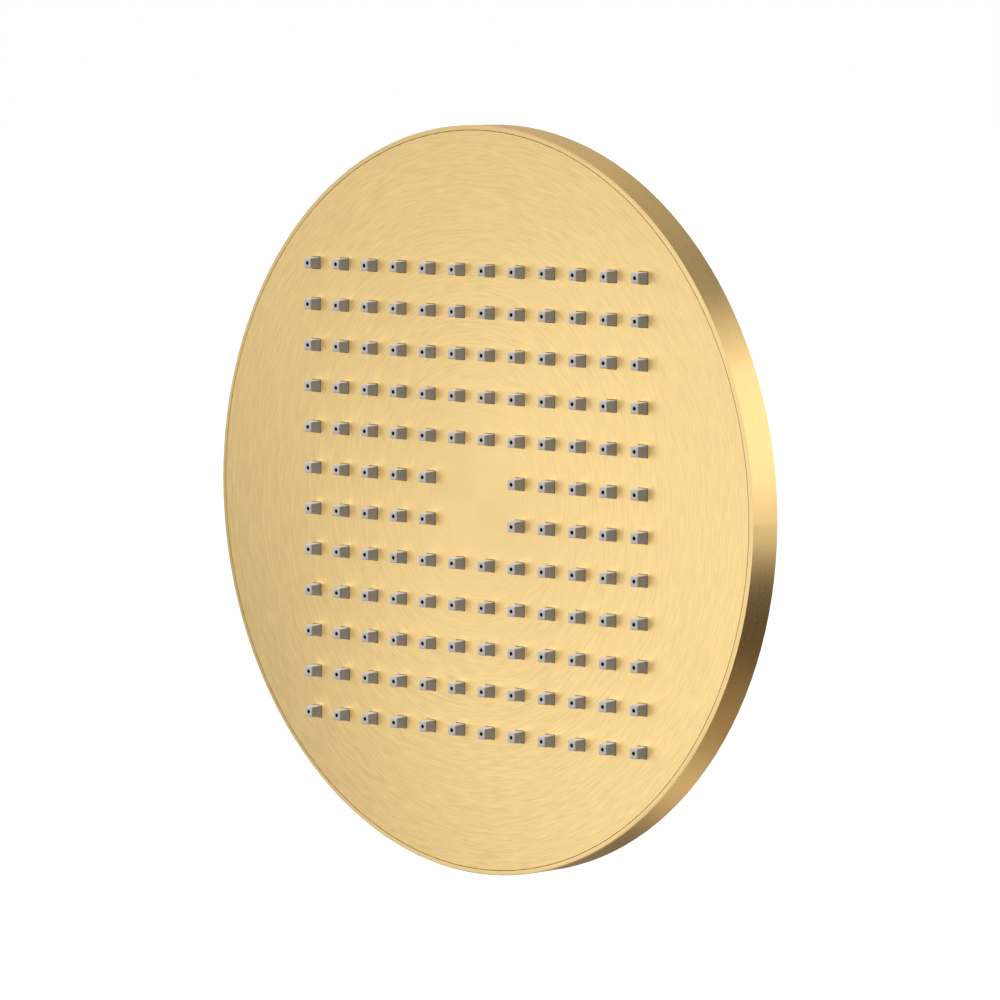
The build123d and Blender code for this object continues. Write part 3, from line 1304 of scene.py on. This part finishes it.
@dataclass
class Studio:
    """Floor, world, lamp, cards and camera.

    Attributes:
        floor_drop: how far the floor is below the inlet's axis.
        floor_width: width of the floor.
        floor_grey: how pale the floor's paint is.
        floor_lift: light that the floor shows of its own where it is seen.
        fill: strength of the world's light on matt surfaces.
        lamp_power: strength of the lamp.
        lamp_from: direction that the lamp shines from.
        lamp_spread: angle of the lamp in degrees, which softens its shadows.
        azimuth: the camera's turn about the vertical in degrees.
        elevation: the camera's height above the horizon in degrees.
        distance: from the middle of the nozzle tips to the camera.
        shift: the camera's moves to its right and upwards.
        lens: focal length in millimetres.
        sensor: width of the sensor in millimetres.
    """

    floor_drop: float = 0.7
    floor_width: float = 60.0
    floor_grey: float = 0.45
    floor_lift: float = 0.6
    fill: float = 0.1
    lamp_power: float = 3.9
    lamp_from: tuple[float, float, float] = (-0.36, -0.50, 0.79)
    lamp_spread: float = 25.0
    azimuth: float = 45.0
    elevation: float = 5.0
    distance: float = 1.865
    shift: tuple[float, float] = (0.01123, 0.00071)
    lens: float = 202.07
    sensor: float = 36.0

    def build(self) -> None:
        """Builds the studio."""
        bpy.context.scene.view_settings.view_transform = "Standard"
        self.build_world()
        self.build_floor()
        self.build_lamp()
        for card in (RIM_CARD, SIDE_CARD, FACE_CARD, BACK_CARD):
            card.build()
        self.build_camera()

    @staticmethod
    def seen_directly(bench: Bench) -> bpy.types.NodeSocket:
        """Tells rays from the camera, and those mirrored or let through, from the rest.

        Args:
            bench: the bench of the material or world.

        Returns:
            1 for such rays, otherwise 0.
        """
        path = bench.node("ShaderNodeLightPath").outputs
        either = bench.sum("MAXIMUM", path["Is Camera Ray"], path["Is Glossy Ray"])
        return bench.sum("MAXIMUM", either, path["Is Transmission Ray"])

    def build_world(self) -> None:
        """Makes the world white where it is seen and softer where it lights matt surfaces."""
        world = bpy.data.worlds.new("studio_white")
        bench = Bench.emptied(world)
        strength = bench.sum("MAXIMUM", self.seen_directly(bench), self.fill)
        white = bench.node("ShaderNodeBackground", {"Color": WHITE, "Strength": strength})
        bench.node("ShaderNodeOutputWorld", {"Surface": white.outputs[0]})
        bpy.context.scene.world = world

    def build_floor(self) -> None:
        """Makes a pale floor far below, white where no shadow falls."""
        mesh = bpy.data.meshes.new("studio_floor")
        work = bmesh.new()
        bmesh.ops.create_grid(work, x_segments=1, y_segments=1, size=self.floor_width / 2)
        work.to_mesh(mesh)
        work.free()
        floor = bpy.data.objects.new("studio_floor", mesh)
        floor.location.z = -self.floor_drop
        bpy.context.scene.collection.objects.link(floor)
        paint = bpy.data.materials.new("studio_floor")
        bench = Bench.emptied(paint)
        matt = bench.node("ShaderNodeBsdfDiffuse", {"Color": (*[self.floor_grey] * 3, 1)})
        lift = bench.sum("MULTIPLY", self.seen_directly(bench), self.floor_lift)
        glow = bench.node("ShaderNodeEmission", {"Strength": lift})
        both = bench.node("ShaderNodeAddShader", {0: matt.outputs[0], 1: glow.outputs[0]})
        bench.node("ShaderNodeOutputMaterial", {"Surface": both.outputs[0]})
        mesh.materials.append(paint)

    def build_lamp(self) -> None:
        """Hangs one broad lamp above, to the left and in front."""
        light = bpy.data.lights.new("broad_lamp", "SUN")
        light.energy = self.lamp_power
        light.angle = math.radians(self.lamp_spread)
        lamp = bpy.data.objects.new("broad_lamp", light)
        lamp.rotation_mode = "QUATERNION"
        lamp.rotation_quaternion = Vector(self.lamp_from).to_track_quat("Z", "Y")
        lamp.visible_glossy = False
        bpy.context.scene.collection.objects.link(lamp)

    def build_camera(self) -> None:
        """Sets the camera where the picture was taken from."""
        turn, rise = math.radians(self.azimuth), math.radians(self.elevation)
        back = Vector((math.sin(turn) * math.cos(rise), -math.cos(turn) * math.cos(rise), math.sin(rise)))
        right = Vector((math.cos(turn), math.sin(turn), 0.0))
        target = Vector((0.0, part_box("nozzle_mat")[0].y, 0.0))
        lens = bpy.data.cameras.new("camera")
        lens.lens, lens.sensor_width = self.lens, self.sensor
        camera = bpy.data.objects.new("camera", lens)
        aim = right * self.shift[0] + back.cross(right) * self.shift[1]
        camera.location = target + back * self.distance + aim
        camera.rotation_mode = "QUATERNION"
        camera.rotation_quaternion = (-back).to_track_quat("-Z", "Y")
        bpy.context.scene.collection.objects.link(camera)
        bpy.context.scene.camera = camera


def main() -> None:
    """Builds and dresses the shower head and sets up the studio."""
    logging.basicConfig(level=logging.INFO, format="%(name)s: %(message)s")
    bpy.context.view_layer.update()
    for assembly in (SprayHead(), Inlet()):
        assembly.build()
    for assembly in (SprayHead(), BallJoint(), Inlet()):
        assembly.dress()
    Studio().build()


if __name__ == "__main__":
    main()
